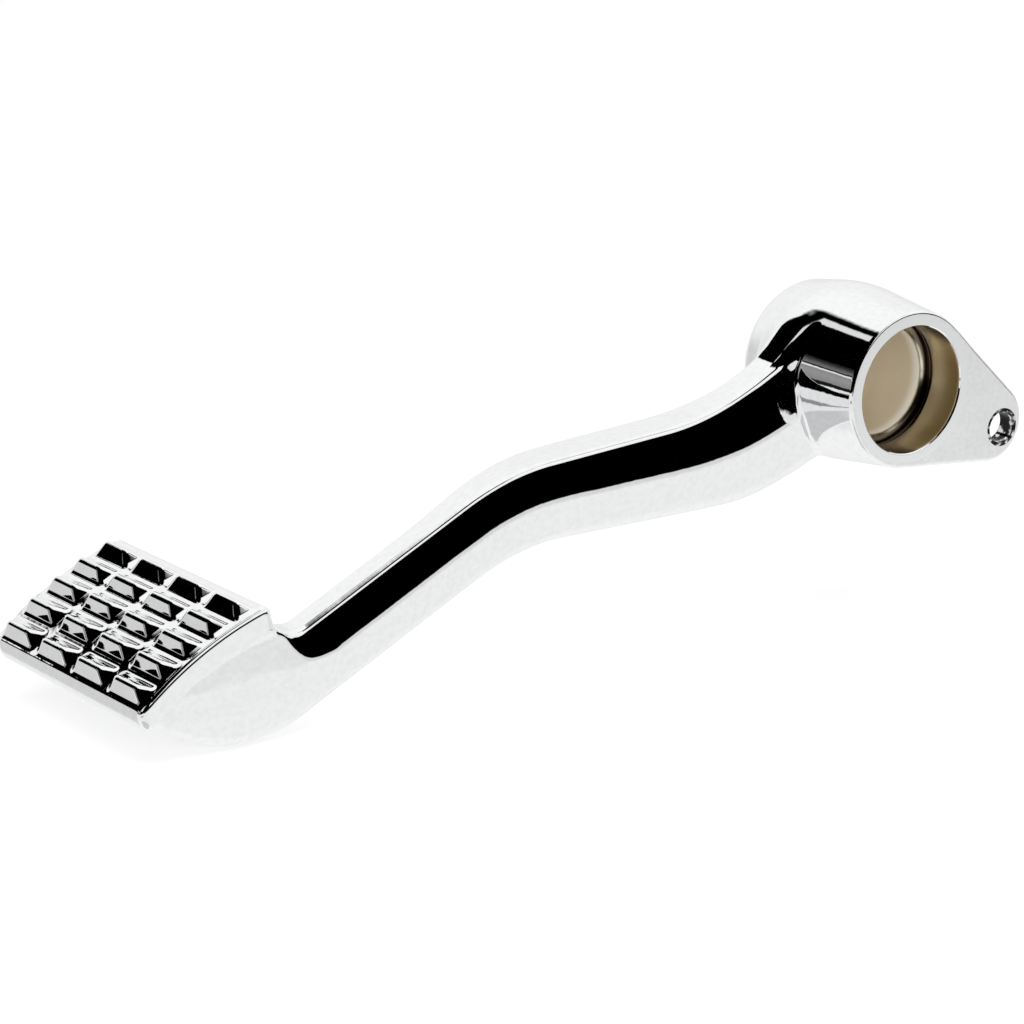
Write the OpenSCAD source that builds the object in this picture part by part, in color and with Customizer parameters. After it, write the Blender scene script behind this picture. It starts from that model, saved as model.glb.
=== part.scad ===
// Rear brake pedal of a cruiser motorcycle, one chromed forging: hub, arm, foot pad and rod lever.
// Origin: centre of the open mouth of the pivot bore. +Y runs out of the mouth, +X forward to the
// foot pad, +Z up. Millimetres.

/* [Pivot hub] */
// Diameter of the bearing recess at the open mouth
recess_d = 32; // [29:0.5:34]
// Depth of the bearing recess
recess_depth = 11.5; // [8:0.5:14]
// Diameter of the shaft bore behind the shoulder
shaft_bore_d = 27.6; // [20:0.2:28]
// Outside diameter of the hub at the mouth
mouth_d = 39.4; // [38:0.2:43]
// Outside diameter of the hub at its widest
belly_d = 45.4; // [44:0.2:50]
// Outside diameter of the hub at its outer end
outer_end_d = 39.6; // [36:0.2:42]
// Length of the hub along the pivot axis
hub_len = 42; // [38:0.5:50]
// Distance from the mouth to the widest place
belly_at = 25; // [22:0.5:30]
// Rounding of the hub's outer end
end_round = 3.2; // [1.5:0.1:4]
// Chamfer round both mouths of the bore
bore_chamfer = 0.6; // [0.2:0.1:1.2]
// Width of the relief groove at the foot of the recess
relief_w = 1.4; // [0.8:0.1:2]
// Depth of the relief groove
relief_depth = 0.5; // [0.2:0.1:0.9]

/* [Rod lever] */
// Diameter of the eye for the brake rod's clevis pin
eye_d = 7.94; // [6:0.01:9]
// Distance from the pivot axis to the eye
eye_reach = 34.2; // [30:0.1:40]
// Angle of the lever below the horizontal
lever_drop = 25.4; // [10:0.2:40]
// Thickness of the lever
lever_t = 5; // [3.5:0.1:7]
// Radius of the lever's rounded end
lever_end_r = 9.9; // [8:0.1:12]
// Metal left between the eye and the lever's end
eye_wall = 2.15; // [1.5:0.05:4]

/* [Arm] */
// Distance from the mouth to the arm's inner face, on the pivot axis
arm_inset = 15.5; // [13:0.5:18]
// Angle by which the arm runs outward on its way to the pad
arm_splay = 4; // [0:0.5:10]
// Width of the arm at the hub
arm_w_hub = 12; // [10:0.5:15]
// Width of the arm along its level middle stretch
arm_w_mid = 14; // [11:0.5:15]
// Width of the arm at the pad
arm_w_pad = 9.5; // [8:0.5:12]
// Height of the arm's level middle stretch
arm_h = 24.1; // [18:0.1:26]
// Height of the arm just ahead of the pad
arm_h_pad = 22.4; // [18:0.1:26]
// Distance from the pivot axis to the bend behind the hub
bend_1_reach = 46; // [42:0.5:50]
// Drop from the pivot axis to the top of that bend
bend_1_drop = 3.7; // [2:0.1:6]
// Distance from the pivot axis to the bend ahead of the pad
bend_2_reach = 106.5; // [98:0.5:112]
// Drop from the pivot axis to the top of that bend
bend_2_drop = 8.2; // [6:0.1:12]
// Slope of the last stretch down to the pad
arm_slope = 27; // [24:0.5:30]
// Height at which the arm's top leaves the hub, above the pivot axis
hub_top = 11.2; // [8:0.1:13]
// Distance from the pivot axis to the foot of the arm's underside, ahead of the hub
knee_reach = 30.5; // [27:0.5:34]
// Slope of the arm's underside where it leaves the hub
knee_slope = 24; // [18:1:32]
// Distance from the arm's lowest place, under the pad, back from the pad's middle
heel_back = 9.5; // [5:0.5:14]
// Distance by which the arm stops short of the pad's front edge
arm_end_gap = 6.8; // [5:0.2:9]

/* [Foot pad] */
// Distance from the pivot axis to the middle of the pad
pad_reach = 190.2; // [184:0.1:196]
// Drop from the pivot axis to the middle of the pad's floor
pad_drop = 36.3; // [33:0.1:40]
// Forward tilt at the middle of the pad
pad_tilt = 28.2; // [24:0.2:32]
// Width of the pad, across the foot
pad_w = 65.4; // [55:0.2:75]
// Length of the pad, along the foot
pad_len = 42.6; // [37:0.2:45]
// Thickness of the plate at its rear edge
pad_t_rear = 7; // [5:0.1:9]
// Thickness of the plate at its front edge
pad_t_front = 5.6; // [5:0.1:9]
// Radius of the pad's crown
crown_r = 85; // [70:1:120]
// Distance by which the pad's inner side stands proud of the arm's inner face
pad_overhang = 1.7; // [0.8:0.1:3]
// Rounding of the pad's front and rear edges and of its corners
pad_round = 2.6; // [1.5:0.1:3.5]
// Rounding of the pad's side edges
side_round = 1.4; // [0.8:0.1:2.5]
// Rows of teeth, along the foot
tooth_rows = 5; // [4:1:6]
// Teeth in a row, across the foot
tooth_cols = 4; // [3:1:5]
// Plain rim beside the block of teeth
rim_side = 0.5; // [0.2:0.1:2]
// Plain rim before and behind the block of teeth
rim_end = 2.5; // [1.5:0.1:4]
// Height of a tooth
tooth_h = 2.9; // [1.5:0.1:3.5]
// Width of a tooth's crest across the foot, as a share of the tooth
crest_share_w = 0.6; // [0.4:0.05:0.8]
// Length of a tooth's crest along the foot, as a share of the tooth
crest_share_len = 0.14; // [0.1:0.02:0.4]

/* [Hidden] */
$fn = 96;
eps = 0.01;
recess_r = recess_d / 2;
shaft_r = shaft_bore_d / 2;
mouth_r = mouth_d / 2;
belly_r = belly_d / 2;
outer_r = outer_end_d / 2;
mouth_round = 1.2;
eye_r = eye_d / 2;
eye_chamfer = 0.4;
lever_dir = 180 + lever_drop;
lever_end_reach = eye_reach + eye_r + eye_wall - lever_end_r;
// Colour of the chrome
chrome = "#d4d7db";

// Height at s of a path with straight legs and rounded corners; p holds [s, z, half length of the
// rounding] for each corner
function leg(p, i) = (p[i + 1][1] - p[i][1]) / (p[i + 1][0] - p[i][0]);
function leg_of(p, s, i = 0) = i >= len(p) - 2 || s < p[i + 1][0] ? i : leg_of(p, s, i + 1);
function bump(p, i, s) =
    i < 1 || i > len(p) - 2 || abs(s - p[i][0]) > p[i][2] ? 0
    : (leg(p, i) - leg(p, i - 1)) * pow(p[i][2] - abs(s - p[i][0]), 2) / (4 * p[i][2]);
function path_z(p, s) =
    let (i = leg_of(p, s)) p[i][1] + leg(p, i) * (s - p[i][0]) + bump(p, i, s) + bump(p, i + 1, s);
function mix(a, b, t) = a + (b - a) * min(max(t, 0), 1);
function smooth(t) = let (u = min(max(t, 0), 1)) u * u * (3 - 2 * u);

// Corners of a closed outline rounded with arcs; q holds [x, y, radius]
function unit(v) = v / norm(v);
function arc_at(q, i, n) =
    let (k = len(q), c = [q[i][0], q[i][1]],
         a = unit([q[(i + k - 1) % k][0], q[(i + k - 1) % k][1]] - c),
         b = unit([q[(i + 1) % k][0], q[(i + 1) % k][1]] - c),
         half = acos(a * b) / 2, r = q[i][2],
         m = c + unit(a + b) * r / sin(half),
         p0 = c + a * r / tan(half) - m, p1 = c + b * r / tan(half) - m,
         t0 = atan2(p0[1], p0[0]), d = atan2(p1[1], p1[0]) - t0,
         sweep = d > 180 ? d - 360 : d < -180 ? d + 360 : d)
    [for (j = [0:n]) m + r * [cos(t0 + sweep * j / n), sin(t0 + sweep * j / n)]];
function rounded(q, n) =
    [for (i = [0:len(q) - 1]) each q[i][2] > 0 ? arc_at(q, i, n) : [[q[i][0], q[i][1]]]];

// Solid between like rings of points, closed with a flat cap at each end
module loft(rings) {
    k = len(rings[0]);
    last = len(rings) - 1;
    sides = [for (i = [0:last - 1]) for (j = [0:k - 1])
        let (a = i * k + j, b = i * k + (j + 1) % k)
        each [[a, b, a + k], [b, b + k, a + k]]];
    caps = [[for (j = [k - 1:-1:0]) j], [for (j = [0:k - 1]) last * k + j]];
    polyhedron([for (ring = rings) each ring], concat(sides, caps), convexity = 6);
}

// Outside of the hub: a cone that widens to the belly, narrows again and ends in a round
belly_round = 9;
hub_profile = [
    [0, 0, 0], [mouth_r, 0, mouth_round], [belly_r, belly_at, belly_round],
    [outer_r, hub_len, end_round], [0, hub_len, 0]];

module hub_body() {
    rotate([90, 0, 0])
        rotate_extrude()
            polygon(rounded(hub_profile, 5));
}

module ring_cut(r, y0, y1) {
    translate([0, y0, 0])
        rotate([90, 0, 0])
            cylinder(r = r, h = y0 - y1);
}

module cone_cut(r, y, c, out) {
    translate([0, y, 0])
        rotate([out * 90, 0, 0])
            cylinder(r1 = r + c + eps, r2 = r, h = c + eps);
}

module bore() {
    ring_cut(recess_r, eps, -recess_depth);
    ring_cut(recess_r + relief_depth, -recess_depth + relief_w, -recess_depth);
    ring_cut(shaft_r, 0, -hub_len - eps);
    cone_cut(recess_r, eps, bore_chamfer, 1);
    cone_cut(shaft_r, -recess_depth + eps, bore_chamfer, 1);
    cone_cut(shaft_r, -hub_len - eps, bore_chamfer, -1);
}

// Lever: a plate whose straight edges are tangent to the hub's mouth and to the rounded end
tangent = acos((mouth_r - lever_end_r) / lever_end_reach);
function polar(r, a) = r * [cos(a), sin(a)];
lever_end = polar(lever_end_reach, lever_dir);
eye = polar(eye_reach, lever_dir);

module lever() {
    rotate([90, 0, 0])
        linear_extrude(lever_t) {
            translate(lever_end)
                circle(r = lever_end_r);
            polygon([
                [0, 0],
                polar(mouth_r, lever_dir - tangent), lever_end + polar(lever_end_r, lever_dir - tangent),
                lever_end + polar(lever_end_r, lever_dir + tangent), polar(mouth_r, lever_dir + tangent)]);
        }
}

module eye_cut() {
    translate([eye[0], 0, eye[1]]) {
        ring_cut(eye_r, eps, -lever_t - eps);
        cone_cut(eye_r, eps, eye_chamfer, 1);
        cone_cut(eye_r, -lever_t - eps, eye_chamfer, -1);
    }
}

// Arm: s runs forward from the pivot axis in the arm's own upright plane, n outward from its inner face
slope = tan(arm_slope);
// The arm starts inside the hub and ends inside the foot pad. Its top runs level out of the hub, over
// two bends, rises again at its seat against the pad's rear edge and then runs inside the pad.
arm_start = 6;
bend_round = 12;
seat_round = 3;
pad_run = pad_len / 2 * cos(pad_tilt);
pad_rise = pad_len / 2 * sin(pad_tilt);
arm_end = pad_reach + pad_run - arm_end_gap;
arm_end_z = -pad_drop - (arm_end - pad_reach) * tan(pad_tilt);
seat_s = pad_reach - pad_run - 7;
top_path = [
    [arm_start, hub_top + 0.6, 0],
    [mouth_r - 0.7, hub_top, 6],
    [bend_1_reach, -bend_1_drop, 15],
    [bend_2_reach, -bend_2_drop, bend_round],
    [seat_s, -bend_2_drop - slope * (seat_s - bend_2_reach), seat_round],
    [pad_reach - pad_run + 0.8, -pad_drop + pad_rise - pad_t_rear - 0.4, 2.5],
    [pad_reach, -pad_drop - (pad_t_rear + pad_t_front) / 4 / cos(pad_tilt), 8],
    [arm_end, arm_end_z - pad_t_front * 0.8, 0]];
low_z = -bend_1_drop - arm_h;
heel_s = pad_reach - heel_back;
low_path = [
    [arm_start, low_z + tan(knee_slope) * (knee_reach - arm_start), 0],
    [knee_reach, low_z, bend_round],
    [bend_2_reach - 5, low_z, bend_round],
    [heel_s, -bend_2_drop - slope * (heel_s - bend_2_reach) - arm_h_pad, 18],
    [arm_end, arm_end_z - pad_t_front * 1.7, 0]];

function arm_width(s) =
    mix(mix(arm_w_hub, arm_w_mid, smooth((s - 35) / 25)), arm_w_pad, smooth((s - 84) / 52));
// Lean of the arm's inner face towards its top edge, which fades out beside the pad
function lean(s) = mix(1.7, 0.3, smooth((s - 148) / 14));
// Flare of the arm's faces where they run into the hub
function flare(s) = 3 * pow(min(max((belly_r + 4 - s) / 7, 0), 1), 2);

function arm_section(s) =
    let (w = arm_width(s), h = path_z(top_path, s) - path_z(low_path, s), l = lean(s), f = flare(s))
    rounded([
        [l - f, 0, 1.1], [-f, -0.5 * h, 0.5 * h], [2.2 - f, -h, 0.13 * h],
        [w - 2.2 + f, -h, 0.13 * h], [w + f, -0.5 * h, 0.5 * h], [w + f - 0.2, 0, 1.4]], 3);

module arm() {
    steps = 40;
    rotate([0, 0, -arm_splay])
        translate([0, -arm_inset, 0])
            loft([for (i = [0:steps])
                let (s = arm_start + (arm_end - arm_start) * i / steps, z = path_z(top_path, s))
                [for (p = arm_section(s)) [s, -p[0], z + p[1]]]]);
}

// Foot pad: a plate bent to a crown about an axis parallel to the pivot
pad_mid = [pad_reach, -pad_drop];
pad_inset = arm_inset * cos(arm_splay) + pad_reach * sin(arm_splay) - pad_overhang;
crown_c = pad_mid - polar(crown_r, 90 - pad_tilt);
function crown_point(r, a) = crown_c + polar(r, 90 - a);
half_span = pad_len / 2 / crown_r * 180 / PI;

function inset(d, r) = d >= r ? 0 : r - sqrt(r * r - pow(r - d, 2));

module pad_plate() {
    steps = 14;
    ease = [for (i = [0:steps]) 0.5 - 0.5 * cos(180 * i / steps)];
    loft([for (t = ease)
        let (d = min(t, 1 - t) * pad_len, g = inset(max(d, 0.02), pad_round),
             low = crown_r - mix(pad_t_rear, pad_t_front, t), low_round = pad_round * 0.4,
             a = pad_tilt + (t * 2 - 1) * half_span,
             q = rounded([
                 [pad_inset + g, crown_r - g, side_round],
                 [pad_inset + g, low + g * 0.4, low_round],
                 [pad_inset + pad_w - g, low + g * 0.4, low_round],
                 [pad_inset + pad_w - g, crown_r - g, side_round]], 3))
        [for (p = q) let (c = crown_point(p[1], a)) [c[0], -p[0], c[1]]]]);
}

tooth_pitch_w = (pad_w - 2 * rim_side) / tooth_cols;
tooth_pitch_len = (pad_len - 2 * rim_end) / tooth_rows;
groove = 0.4;

module tooth() {
    w = tooth_pitch_w - groove;
    l = tooth_pitch_len - groove;
    loft([for (q = [[-1, 1, 1], [tooth_h, crest_share_len, crest_share_w]])
        [for (c = [[-1, -1], [-1, 1], [1, 1], [1, -1]]) [c[0] * l * q[1] / 2, c[1] * w * q[2] / 2, q[0]]]]);
}

module teeth() {
    for (row = [0:tooth_rows - 1], col = [0:tooth_cols - 1]) {
        a = pad_tilt + (row - (tooth_rows - 1) / 2) * tooth_pitch_len / crown_r * 180 / PI;
        c = crown_point(crown_r, a);
        translate([c[0], -pad_inset - pad_w / 2 + (col - (tooth_cols - 1) / 2) * tooth_pitch_w, c[1]])
            rotate([0, a, 0])
                tooth();
    }
}

module brake_pedal() {
    color(chrome)
        difference() {
            union() {
                hub_body();
                lever();
                arm();
                pad_plate();
                teeth();
            }
            bore();
            eye_cut();
        }
}

brake_pedal();
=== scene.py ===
"""Looks of a chromed rear brake pedal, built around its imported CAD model.

Lengths of the pedal are in millimetres, in the frame of the CAD model: the origin is the centre of the
bore's mouth, +Y leaves the bore, +X runs forward to the foot pad and +Z is up. Materials, lamps and the
camera are in metres.
"""

import math

import bpy
import numpy as np
from mathutils import Matrix, Vector


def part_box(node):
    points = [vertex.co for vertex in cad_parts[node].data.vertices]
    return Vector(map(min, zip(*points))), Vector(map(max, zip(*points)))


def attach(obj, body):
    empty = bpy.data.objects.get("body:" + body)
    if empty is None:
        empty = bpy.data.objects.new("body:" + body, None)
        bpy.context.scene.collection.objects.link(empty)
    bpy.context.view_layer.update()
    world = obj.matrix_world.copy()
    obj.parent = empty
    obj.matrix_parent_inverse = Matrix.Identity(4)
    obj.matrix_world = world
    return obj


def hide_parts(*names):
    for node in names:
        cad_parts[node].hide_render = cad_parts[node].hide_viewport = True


bl_info = {
    "name": "Rear brake pedal",
    "version": (1, 0, 0),
    "blender": (4, 5, 0),
    "location": "3D View > Sidebar > Pedal",
    "description": "Chromed rear brake pedal with a waffle foot pad, in a plain studio",
    "category": "Object",
}

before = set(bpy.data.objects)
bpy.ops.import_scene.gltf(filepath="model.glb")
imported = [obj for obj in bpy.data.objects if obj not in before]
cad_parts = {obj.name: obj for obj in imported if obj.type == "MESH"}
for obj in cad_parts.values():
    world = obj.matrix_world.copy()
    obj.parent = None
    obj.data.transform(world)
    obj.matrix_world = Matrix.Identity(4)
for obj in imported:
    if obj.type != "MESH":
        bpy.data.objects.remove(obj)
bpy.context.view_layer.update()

NODE = "brake_pedal"
MM = 0.001

# Sizes of the pedal, in millimetres and degrees
HUB = {
    "mouth": 19.7, "belly": 22.7, "belly_at": 25.0, "belly_round": 1.6, "end": 19.8, "length": 42.0,
    "end_round": 3.2, "face_round": 0.9,
}
BORE = {
    "recess": 16.0, "depth": 11.5, "shaft": 13.8, "relief": 0.5, "relief_w": 1.4, "mouth_chamfer": 0.3,
    "shaft_chamfer": 0.6, "end_lip": 15.9, "mouth_lip": 18.2,
}
LEVER = {
    "thick": 5.0, "turn": 205.4, "end_r": 9.9, "eye_reach": 34.2, "eye_r": 3.97, "wall": 2.15,
    "edge_round": 0.9, "fillet": 2.0, "eye_round": 0.25, "eye_lip": 0.85,
}
PAD = {
    "reach": 190.2, "drop": 36.3, "tilt": 28.2, "width": 65.4, "length": 42.6, "crown": 85.0,
    "rear": 7.0, "front": 5.6, "overhang": 1.7, "corner_round": 2.0, "front_round": 1.6,
    "under_round": 1.04,
}
TOOTH = {
    "rows": 5, "cols": 4, "rim_side": 0.5, "rim_end": 2.5, "height": 2.9, "root": 1.0, "crest_w": 0.6,
    "crest_len": 0.14, "groove": 0.4, "hip_round": 0.9, "top_round": 0.45, "foot_round": 0.55,
}
ARM = {
    "inset": 15.5, "splay": 4.0, "start": 6.0, "width_hub": 12.0, "width": 14.0, "width_pad": 9.5,
    "near_round_hub": 2.0, "near_round": 1.4, "far_round": 1.4, "side_round": 0.8, "flare": 0.3,
}
# Upright front wall of the pad: its place, the height that place is given at, and its lean
PAD_FRONT = 205.5
PAD_FRONT_Z = -46.8
PAD_FRONT_LEAN = 0.1
# The arm's near side leans out by LEAN down to its fold, at FOLD of its half height, and in by FOLD_LEAN
# below it. Beside the pad it stands nearly upright.
LEAN = 0.145
LEAN_PAD = 0.02
FOLD = 1.02
FOLD_LEAN = 0.185
# Rounding of the arm's lower edges, as a share of its half height
UNDER_ROUND = 0.26
# Slopes of the arm's far side, above and below its middle
FAR_LEAN = 0.2
FAR_LEAN_LOW = 2.2
# Fillets of the arm at the hub, down its near side and along its top, and under the pad, rear and front
HUB_FILLET = (1.3, 6.5)
PAD_FILLET = (1.2, 0.6)
# How far the forging stays inside the flat faces of the CAD model, and the linings inside them
SHY = 0.02
LINING_SHY = 0.005
LINING_TUCK = 0.03

COS_SPLAY = math.cos(math.radians(ARM["splay"]))
SIN_SPLAY = math.sin(math.radians(ARM["splay"]))
LEVER_TURN = math.radians(LEVER["turn"])
LEVER_LENGTH = LEVER["eye_reach"] + LEVER["eye_r"] + LEVER["wall"] - LEVER["end_r"]
EYE = (LEVER["eye_reach"] * math.cos(LEVER_TURN), LEVER["eye_reach"] * math.sin(LEVER_TURN))
PAD_TILT = math.radians(PAD["tilt"])
PAD_RUN = PAD["length"] / 2 * math.cos(PAD_TILT)
PAD_RISE = PAD["length"] / 2 * math.sin(PAD_TILT)
PAD_INSET = ARM["inset"] * COS_SPLAY + PAD["reach"] * SIN_SPLAY - PAD["overhang"]
PITCH_W = (PAD["width"] - 2 * TOOTH["rim_side"]) / TOOTH["cols"]
PITCH_LEN = (PAD["length"] - 2 * TOOTH["rim_end"]) / TOOTH["rows"]
CROWN = (
    PAD["reach"] - PAD["crown"] * math.sin(PAD_TILT),
    -PAD["drop"] - PAD["crown"] * math.cos(PAD_TILT),
)
ARM_END = PAD["reach"] + PAD_RUN - 6.8
ARM_END_Z = -PAD["drop"] - (ARM_END - PAD["reach"]) * math.tan(PAD_TILT)
# The straight leg of the arm: its upper end, its slope and its height
BEND_S = 106.5
BEND_Z = -8.2
LEG_SLOPE = math.tan(math.radians(27.0))
LEG_HEIGHT = 22.4
# Lower end of the leg's top line, and of its bottom line
SEAT_S = PAD["reach"] - PAD_RUN - 7
HEEL_S = PAD["reach"] - 9.5
# The arm's underside from the hub to the bend: its height, where it levels out, and its slope before that
LOW_Z = -27.8
LOW_START_S = 30.5
LOW_SLOPE = math.tan(math.radians(24))
# Corners of the arm's top and bottom lines: distance forward, height, half length of the rounding
TOP_PATH = [
    (ARM["start"], 11.8, 0), (19, 11.2, 6), (46, -3.7, 15), (BEND_S, BEND_Z, 12),
    (SEAT_S, BEND_Z - LEG_SLOPE * (SEAT_S - BEND_S), 3),
    (PAD["reach"] - PAD_RUN + 0.8, -PAD["drop"] + PAD_RISE - PAD["rear"] - 0.4, 2.5),
    (PAD["reach"], -PAD["drop"] - 3.15 / math.cos(PAD_TILT), 8),
    (ARM_END, ARM_END_Z - 0.8 * PAD["front"], 0),
]
LOW_PATH = [
    (ARM["start"], LOW_Z + LOW_SLOPE * (LOW_START_S - ARM["start"]), 0), (LOW_START_S, LOW_Z, 12),
    (101.5, LOW_Z, 12), (HEEL_S, BEND_Z - LEG_SLOPE * (HEEL_S - BEND_S) - LEG_HEIGHT, 18),
    (ARM_END, ARM_END_Z - 1.7 * PAD["front"], 0),
]

# Corners of the space that the forging is meshed in, and where it is cut into three pieces along X
MESH_LOW = (-40, -95, -66)
MESH_HIGH = (209, 3, 26)
CUTS = (32.0, 158.0)
# Strips over rounded edges: steps round the edge, and how far they stand out, and sink at their borders
STRIP_STEPS = 8
STRIP_LIFT = 0.012
STRIP_SUNK = -0.03
STRIP_END_SUNK = -0.05
# How far the teeth's mesh stands over its true place, and the place of its border
TEETH_LIFT = 0.03
TEETH_BORDER = -0.06

# The camera that took the photograph, in metres and pixels
CAMERA_PLACE = (0.6322, 0.6841, 0.2544)
CAMERA_RIGHT = (-0.8018, 0.5977, 0)
CAMERA_AHEAD = (-0.571, -0.766, -0.2946)
FOCAL_PIXELS = 3917.887
PICTURE_PIXELS = 1024
SENSOR_MM = 36


# Shape functions


def clamp01(t):
    return np.clip(t, 0.0, 1.0)


def ease(t):
    t = clamp01(t)
    return t * t * (3 - 2 * t)


def mix(a, b, t):
    return a + (b - a) * clamp01(t)


def passing(a, b, s, start, length):
    """Value that passes from a to b over a stretch of s."""
    return mix(a, b, ease((s - start) / length))


def round_max(a, b, r):
    """Overlap of two solids, with the edge between them rounded to radius r."""
    return np.minimum(np.maximum(a, b), -r) + np.hypot(np.maximum(a + r, 0), np.maximum(b + r, 0))


def round_min(a, b, r):
    """Union of two solids, with a fillet of radius r between them."""
    return -round_max(-a, -b, r)


def soft_max(a, b, k):
    """Overlap of two solids, with the edge between them softened over a width k."""
    h = np.maximum(k - np.abs(a - b), 0) / k
    return np.maximum(a, b) + h * h * k / 4


def path_height(path, s):
    """Height at s of a line with straight legs and rounded corners."""
    at = [p[0] for p in path]
    z = np.interp(s, at, [p[1] for p in path])
    legs = [(b[1] - a[1]) / (b[0] - a[0]) for a, b in zip(path, path[1:])]
    for i in range(1, len(path) - 1):
        reach = path[i][2]
        z = z + (legs[i] - legs[i - 1]) * np.maximum(reach - np.abs(s - at[i]), 0) ** 2 / (4 * reach)
    return z


def upright(path, s):
    """Cosine of the line's slope, which turns a height above it into a distance from it."""
    rise = path_height(path, s + 0.25) - path_height(path, s - 0.25)
    return 1 / np.sqrt(1 + (rise / 0.5) ** 2)


def hub_field(p):
    """The hub: two cones that meet at its belly."""
    x, y, z = p.T
    rho = np.hypot(x, z)
    back = -y
    run = HUB["belly_at"]
    flare = HUB["belly"] - HUB["mouth"]
    front_cone = ((rho - HUB["mouth"]) * run - back * flare) / math.hypot(run, flare)
    run = HUB["length"] - HUB["belly_at"]
    flare = HUB["belly"] - HUB["end"]
    rear_cone = ((rho - HUB["belly"]) * run + (back - HUB["belly_at"]) * flare) / math.hypot(run, flare)
    cones = soft_max(front_cone, rear_cone, HUB["belly_round"])
    return round_max(cones, back - HUB["length"] + SHY, HUB["end_round"])


def lever_field(p):
    """Tapered plate with round ends, and how far along it each point lies."""
    along = p[:, 0] * math.cos(LEVER_TURN) + p[:, 2] * math.sin(LEVER_TURN)
    across = np.abs(p[:, 2] * math.cos(LEVER_TURN) - p[:, 0] * math.sin(LEVER_TURN))
    b = (HUB["mouth"] - LEVER["end_r"]) / LEVER_LENGTH
    a = math.sqrt(1 - b * b)
    k = along * a - across * b
    outline = across * a + along * b - HUB["mouth"]
    outline = np.where(k < 0, np.hypot(along, across) - HUB["mouth"], outline)
    end = np.hypot(along - LEVER_LENGTH, across) - LEVER["end_r"]
    outline = np.where(k > a * LEVER_LENGTH, end, outline)
    return round_max(outline, -p[:, 1] - LEVER["thick"] + SHY, LEVER["edge_round"]), along


def arm_width(s):
    """Width of the arm's top, which swells past the hub and narrows towards the pad."""
    beside_hub = passing(ARM["width_hub"], ARM["width"], s, 35, 25)
    return passing(beside_hub, ARM["width_pad"], s, 84, 52)


def arm_lean(s, down):
    """Slope of the upper half of the arm's near side, down mm below its top."""
    return passing(LEAN, LEAN_PAD, s + down, 163, 7)


def near_round(s):
    """Rounding of the arm's near top edge, softer beside the hub."""
    return passing(ARM["near_round_hub"], ARM["near_round"], s, 26, 14)


def arm_field(p):
    """The arm, how much nearer each point is to its top than to its near side, and the distance along it."""
    s = p[:, 0] * COS_SPLAY - p[:, 1] * SIN_SPLAY
    n = -p[:, 0] * SIN_SPLAY - p[:, 1] * COS_SPLAY - ARM["inset"]
    top = path_height(TOP_PATH, s)
    low = path_height(LOW_PATH, s)
    half = (top - low) / 2
    down = (top - p[:, 2]) / half - 1
    flare = ARM["flare"] * clamp01((HUB["belly"] + 4 - s) / 7) ** 2
    width = arm_width(s)
    depth = top - p[:, 2]
    below_fold = depth - FOLD * half
    near = soft_max(-arm_lean(s, depth) * below_fold, FOLD_LEAN * below_fold, ARM["side_round"]) - flare - n
    outside = n - width - flare
    far = soft_max(outside - FAR_LEAN * down, outside + FAR_LEAN_LOW * down, 1.0)
    above = (p[:, 2] - top) * upright(TOP_PATH, s)
    below = (low - p[:, 2]) * upright(LOW_PATH, s)
    under = UNDER_ROUND * half
    body = np.maximum(round_max(near, above, near_round(s)), round_max(far, above, ARM["far_round"]))
    body = np.maximum(body, np.maximum(round_max(near, below, under), round_max(far, below, under)))
    body = np.maximum(body, np.maximum(ARM["start"] - s, s - ARM_END))
    return body, above - near, s


def plate_field(p):
    """The foot pad's plate, crowned along its length and thinner towards its front."""
    x = p[:, 0] - CROWN[0]
    z = p[:, 2] - CROWN[1]
    r = np.hypot(x, z)
    turn = np.arctan2(x, z) - PAD_TILT
    t = turn * PAD["crown"] / PAD["length"] + 0.5
    ends = np.abs(turn) * r - PAD["length"] / 2 * r / PAD["crown"]
    sides = np.abs(-p[:, 1] - PAD_INSET - PAD["width"] / 2) - PAD["width"] / 2
    front = p[:, 0] - PAD_FRONT + PAD_FRONT_LEAN * (p[:, 2] - PAD_FRONT_Z)
    ends = np.where(turn > 0, soft_max(front, ends, PAD["front_round"]), ends)
    plan = round_max(ends, sides, PAD["corner_round"])
    # The top edge's rounding: 1.4 at the sides, 0.8 at the front and 2.4 at the rear
    edge = 1.4 + mix(1.0, -0.6, turn * 20 + 0.5) * clamp01(0.5 + (ends - sides) / 5)
    plate = round_max(plan, r - PAD["crown"], edge)
    return round_max(plate, PAD["crown"] - mix(PAD["rear"], PAD["front"], t) - r, PAD["under_round"])


def tooth_field(a, b, h):
    """One tooth of the foot pad and its seat: a and b lead along the pad's length and width from the tooth's
    middle, and h is the height over the seat."""
    foot_len, foot_w = (PITCH_LEN - TOOTH["groove"]) / 2, (PITCH_W - TOOTH["groove"]) / 2
    slope_len = foot_len * (1 - TOOTH["crest_len"]) / (TOOTH["height"] + TOOTH["root"])
    slope_w = foot_w * (1 - TOOTH["crest_w"]) / (TOOTH["height"] + TOOTH["root"])
    ends = (np.abs(a) - foot_len + slope_len * (h + TOOTH["root"])) / math.hypot(1, slope_len)
    sides = (np.abs(b) - foot_w + slope_w * (h + TOOTH["root"])) / math.hypot(1, slope_w)
    tooth = round_max(round_max(ends, sides, TOOTH["hip_round"]), h - TOOTH["height"], TOOTH["top_round"])
    return round_min(tooth, h, TOOTH["foot_round"])


def tooth_height(a, b):
    """Height of the teeth's surface over the seat, found by halving the span that holds it."""
    low, high = np.full_like(a, -0.1), np.full_like(a, TOOTH["height"] + 0.1)
    for _ in range(22):
        middle = (low + high) / 2
        inside = tooth_field(a, b, middle) < 0
        low, high = np.where(inside, middle, low), np.where(inside, high, middle)
    return (low + high) / 2


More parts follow.
